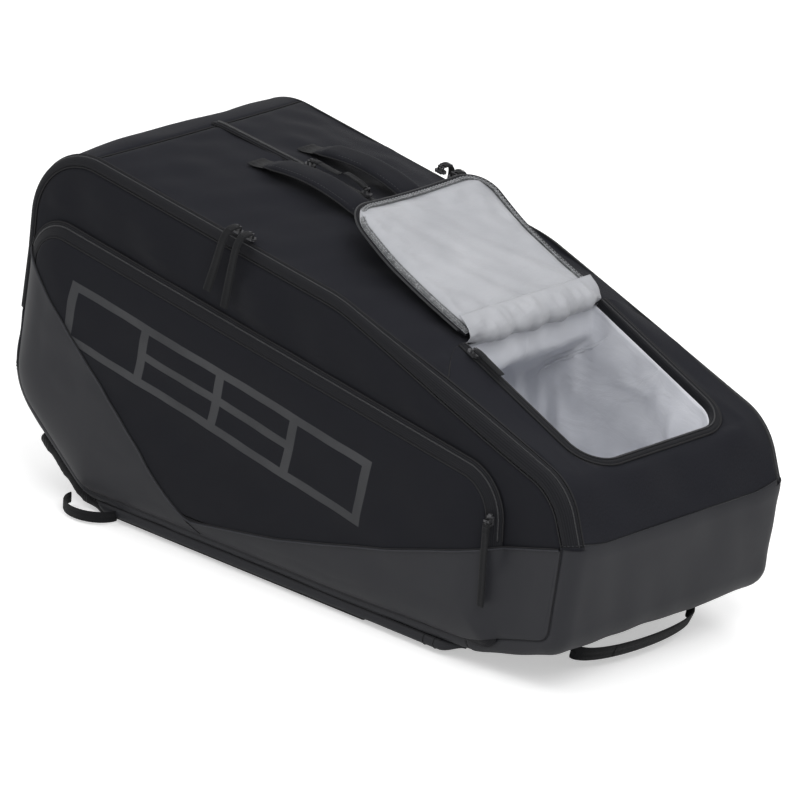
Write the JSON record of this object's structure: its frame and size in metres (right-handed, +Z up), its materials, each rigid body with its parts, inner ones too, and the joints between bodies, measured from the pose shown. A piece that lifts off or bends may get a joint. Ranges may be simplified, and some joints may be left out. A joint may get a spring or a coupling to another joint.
{
  "type": "racket tournament bag",
  "caption": "Large soft racket bag with zipped side lids, outer pockets, a flap-covered shoe compartment, grab handles and shoulder straps.",
  "frame": {"origin": "on the flat central rib of the back panel, the face the bag lies on, in the bag's middle plane, near the middle of its length", "axes": "+X along the bag from the tall head end to the low shoe end, +Y across the bag from the near side to the far side, +Z up from the back panel to the grab handles"},
  "size_m": [0.8068, 0.362, 0.4037],
  "materials": {
    "black_fabric": "matte black woven polyester, plain weave",
    "grey_coated": "dark grey coated fabric with a fine pebble, low sheen",
    "lining": "light silver-grey lining, soft wrinkles",
    "webbing": "black woven webbing",
    "zip_tape": "black zip tape and coil",
    "zip_metal": "dark painted zip slider",
    "mesh_pad": "black air mesh over foam",
    "hard_plastic": "black moulded acetal"
  },
  "bodies": {
    "bag": {"bottom_panel": "grey_coated", "head_end_panel": "black_fabric", "top_panel": "black_fabric", "shoe_surround_panel": "black_fabric", "shoe_end_boot": "grey_coated", "back_panel": "mesh_pad", "shoe_liner": "lining", "shoe_rim_zip": "zip_tape", "centre_zip": "zip_tape", "near_side_lower": "grey_coated", "near_pocket_lower": "grey_coated", "near_gusset_zip_half": "zip_tape", "near_divider": "lining", "near_handle_tab_head": "webbing", "near_handle_tab_shoe": "webbing", "near_corner_loop": "webbing", "far_side_lower": "grey_coated", "far_pocket_lower": "grey_coated", "far_gusset_zip_half": "zip_tape", "far_divider": "lining", "far_handle_tab_head": "webbing", "far_handle_tab_shoe": "webbing", "far_corner_loop": "webbing"},
    "near_lid": {"near_lid_panel": "black_fabric", "near_lid_zip_half": "zip_tape", "near_pocket_face": "black_fabric", "near_pocket_zip": "zip_tape"},
    "near_main_slider_a": {"near_main_slider_a": "zip_metal"},
    "near_main_puller_a": {"near_main_puller_a": "webbing"},
    "near_main_slider_b": {"near_main_slider_b": "zip_metal"},
    "near_main_puller_b": {"near_main_puller_b": "webbing"},
    "near_pocket_slider": {"near_pocket_slider": "zip_metal"},
    "near_pocket_puller": {"near_pocket_puller": "webbing"},
    "far_lid": {"far_lid_panel": "black_fabric", "far_lid_zip_half": "zip_tape", "far_pocket_face": "black_fabric", "far_pocket_zip": "zip_tape"},
    "far_main_slider_a": {"far_main_slider_a": "zip_metal"},
    "far_main_puller_a": {"far_main_puller_a": "webbing"},
    "far_main_slider_b": {"far_main_slider_b": "zip_metal"},
    "far_main_puller_b": {"far_main_puller_b": "webbing"},
    "far_pocket_slider": {"far_pocket_slider": "zip_metal"},
    "far_pocket_puller": {"far_pocket_puller": "webbing"},
    "centre_slider_a": {"centre_slider_a": "zip_metal"},
    "centre_puller_a": {"centre_puller_a": "webbing"},
    "centre_slider_b": {"centre_slider_b": "zip_metal"},
    "centre_puller_b": {"centre_puller_b": "webbing"},
    "flap": {"shoe_flap": "lining", "flap_zip_half": "zip_tape"},
    "shoe_slider": {"shoe_slider": "zip_metal"},
    "shoe_puller": {"shoe_puller": "webbing"},
    "near_grip": {"near_handle_grip": "webbing"},
    "far_grip": {"far_handle_grip": "webbing"},
    "end_handle": {"end_handle": "webbing"},
    "near_strap": {"near_strap_pad": "mesh_pad", "near_strap_ladder_lock": "hard_plastic", "near_strap_webbing": "webbing"},
    "far_strap": {"far_strap_pad": "mesh_pad", "far_strap_ladder_lock": "hard_plastic", "far_strap_webbing": "webbing"}
  },
  "joints": [
    {"name": "near_lid_opens", "type": "hinge", "parent": "bag", "child": "near_lid", "pos_m": [0, -0.178, 0.15], "axis": [1, 0, 0], "range_deg": [0, 75]},
    {"name": "near_main_slider_a_runs", "type": "slide", "parent": "near_lid", "child": "near_main_slider_a", "axis": [0.9906, 0, -0.1369], "range_m": [-0.17, 0]},
    {"name": "near_main_puller_a_swings", "type": "hinge", "parent": "near_main_slider_a", "child": "near_main_puller_a", "pos_m": [-0.10126, -0.1477, 0.36767], "axis": [-0.9906, 0, 0.1369], "range_deg": [0, 100]},
    {"name": "near_main_slider_b_runs", "type": "slide", "parent": "near_lid", "child": "near_main_slider_b", "axis": [0.9906, 0, -0.1369], "range_m": [0, 0.115]},
    {"name": "near_main_puller_b_swings", "type": "hinge", "parent": "near_main_slider_b", "child": "near_main_puller_b", "pos_m": [-0.08293, -0.1477, 0.36514], "axis": [-0.9906, 0, 0.1369], "range_deg": [0, 100]},
    {"name": "near_pocket_slider_runs", "type": "hinge", "parent": "near_lid", "child": "near_pocket_slider", "pos_m": [0.246, -0.16737, 0.1771], "axis": [0, -1, 0], "range_deg": [0, 80]},
    {"name": "near_pocket_puller_swings", "type": "hinge", "parent": "near_pocket_slider", "child": "near_pocket_puller", "pos_m": [0.284, -0.17397, 0.172], "axis": [-1, 0, 0], "range_deg": [0, 100]},
    {"name": "far_lid_opens", "type": "hinge", "parent": "bag", "child": "far_lid", "pos_m": [0, 0.178, 0.15], "axis": [-1, 0, 0], "range_deg": [0, 75]},
    {"name": "far_main_slider_a_runs", "type": "slide", "parent": "far_lid", "child": "far_main_slider_a", "axis": [0.9906, 0, -0.1369], "range_m": [-0.17, 0]},
    {"name": "far_main_puller_a_swings", "type": "hinge", "parent": "far_main_slider_a", "child": "far_main_puller_a", "pos_m": [-0.10126, 0.1477, 0.36767], "axis": [0.9906, 0, -0.1369], "range_deg": [0, 100]},
    {"name": "far_main_slider_b_runs", "type": "slide", "parent": "far_lid", "child": "far_main_slider_b", "axis": [0.9906, 0, -0.1369], "range_m": [0, 0.115]},
    {"name": "far_main_puller_b_swings", "type": "hinge", "parent": "far_main_slider_b", "child": "far_main_puller_b", "pos_m": [-0.08293, 0.1477, 0.36514], "axis": [0.9906, 0, -0.1369], "range_deg": [0, 100]},
    {"name": "far_pocket_slider_runs", "type": "hinge", "parent": "far_lid", "child": "far_pocket_slider", "pos_m": [0.246, 0.16737, 0.1771], "axis": [0, -1, 0], "range_deg": [0, 80]},
    {"name": "far_pocket_puller_swings", "type": "hinge", "parent": "far_pocket_slider", "child": "far_pocket_puller", "pos_m": [0.284, 0.17397, 0.172], "axis": [1, 0, 0], "range_deg": [0, 100]},
    {"name": "centre_slider_a_runs", "type": "slide", "parent": "bag", "child": "centre_slider_a", "axis": [0.9946, 0, -0.1042], "range_m": [-0.11, 0]},
    {"name": "centre_puller_a_swings", "type": "hinge", "parent": "centre_slider_a", "child": "centre_puller_a", "pos_m": [-0.14693, 0, 0.39374], "axis": [0, -1, 0], "range_deg": [0, 120]},
    {"name": "centre_slider_b_runs", "type": "slide", "parent": "bag", "child": "centre_slider_b", "axis": [0.9946, 0, -0.1042], "range_m": [-0.024, 0]},
    {"name": "centre_puller_b_swings", "type": "hinge", "parent": "centre_slider_b", "child": "centre_puller_b", "pos_m": [-0.06488, 0, 0.38514], "axis": [0, 1, 0], "range_deg": [0, 120]},
    {"name": "flap_closes", "type": "hinge", "parent": "bag", "child": "flap", "pos_m": [0.17278, 0, 0.31414], "axis": [0, 1, 0], "range_deg": [0, 179]},
    {"name": "shoe_slider_runs", "type": "slide", "parent": "bag", "child": "shoe_slider", "axis": [0.9189, 0, -0.3945], "range_m": [0, 0.13]},
    {"name": "shoe_puller_swings", "type": "hinge", "parent": "shoe_slider", "child": "shoe_puller", "pos_m": [0.1934, -0.1067, 0.31148], "axis": [0, -1, 0], "range_deg": [0, 120]},
    {"name": "near_grip_lifts", "type": "slide", "parent": "bag", "child": "near_grip", "axis": [0, 0, 1], "range_m": [0, 0.025]},
    {"name": "far_grip_lifts", "type": "slide", "parent": "bag", "child": "far_grip", "axis": [0, 0, 1], "range_m": [0, 0.025]},
    {"name": "end_handle_swings", "type": "hinge", "parent": "bag", "child": "end_handle", "pos_m": [0.322, 0.006, 0.0225], "axis": [0, 1, 0], "range_deg": [0, 70]},
    {"name": "near_strap_swings", "type": "hinge", "parent": "bag", "child": "near_strap", "pos_m": [0.1885, -0.098, 0.0048], "axis": [0, -1, 0], "range_deg": [0, 100]},
    {"name": "far_strap_swings", "type": "hinge", "parent": "bag", "child": "far_strap", "pos_m": [0.1885, 0.098, 0.0048], "axis": [0, -1, 0], "range_deg": [0, 100]}
  ],
  "couplings": [
    {"joint": "near_pocket_puller_swings", "follows": "near_lid_opens", "ratio": 1},
    {"joint": "far_pocket_puller_swings", "follows": "far_lid_opens", "ratio": 1}
  ]
}
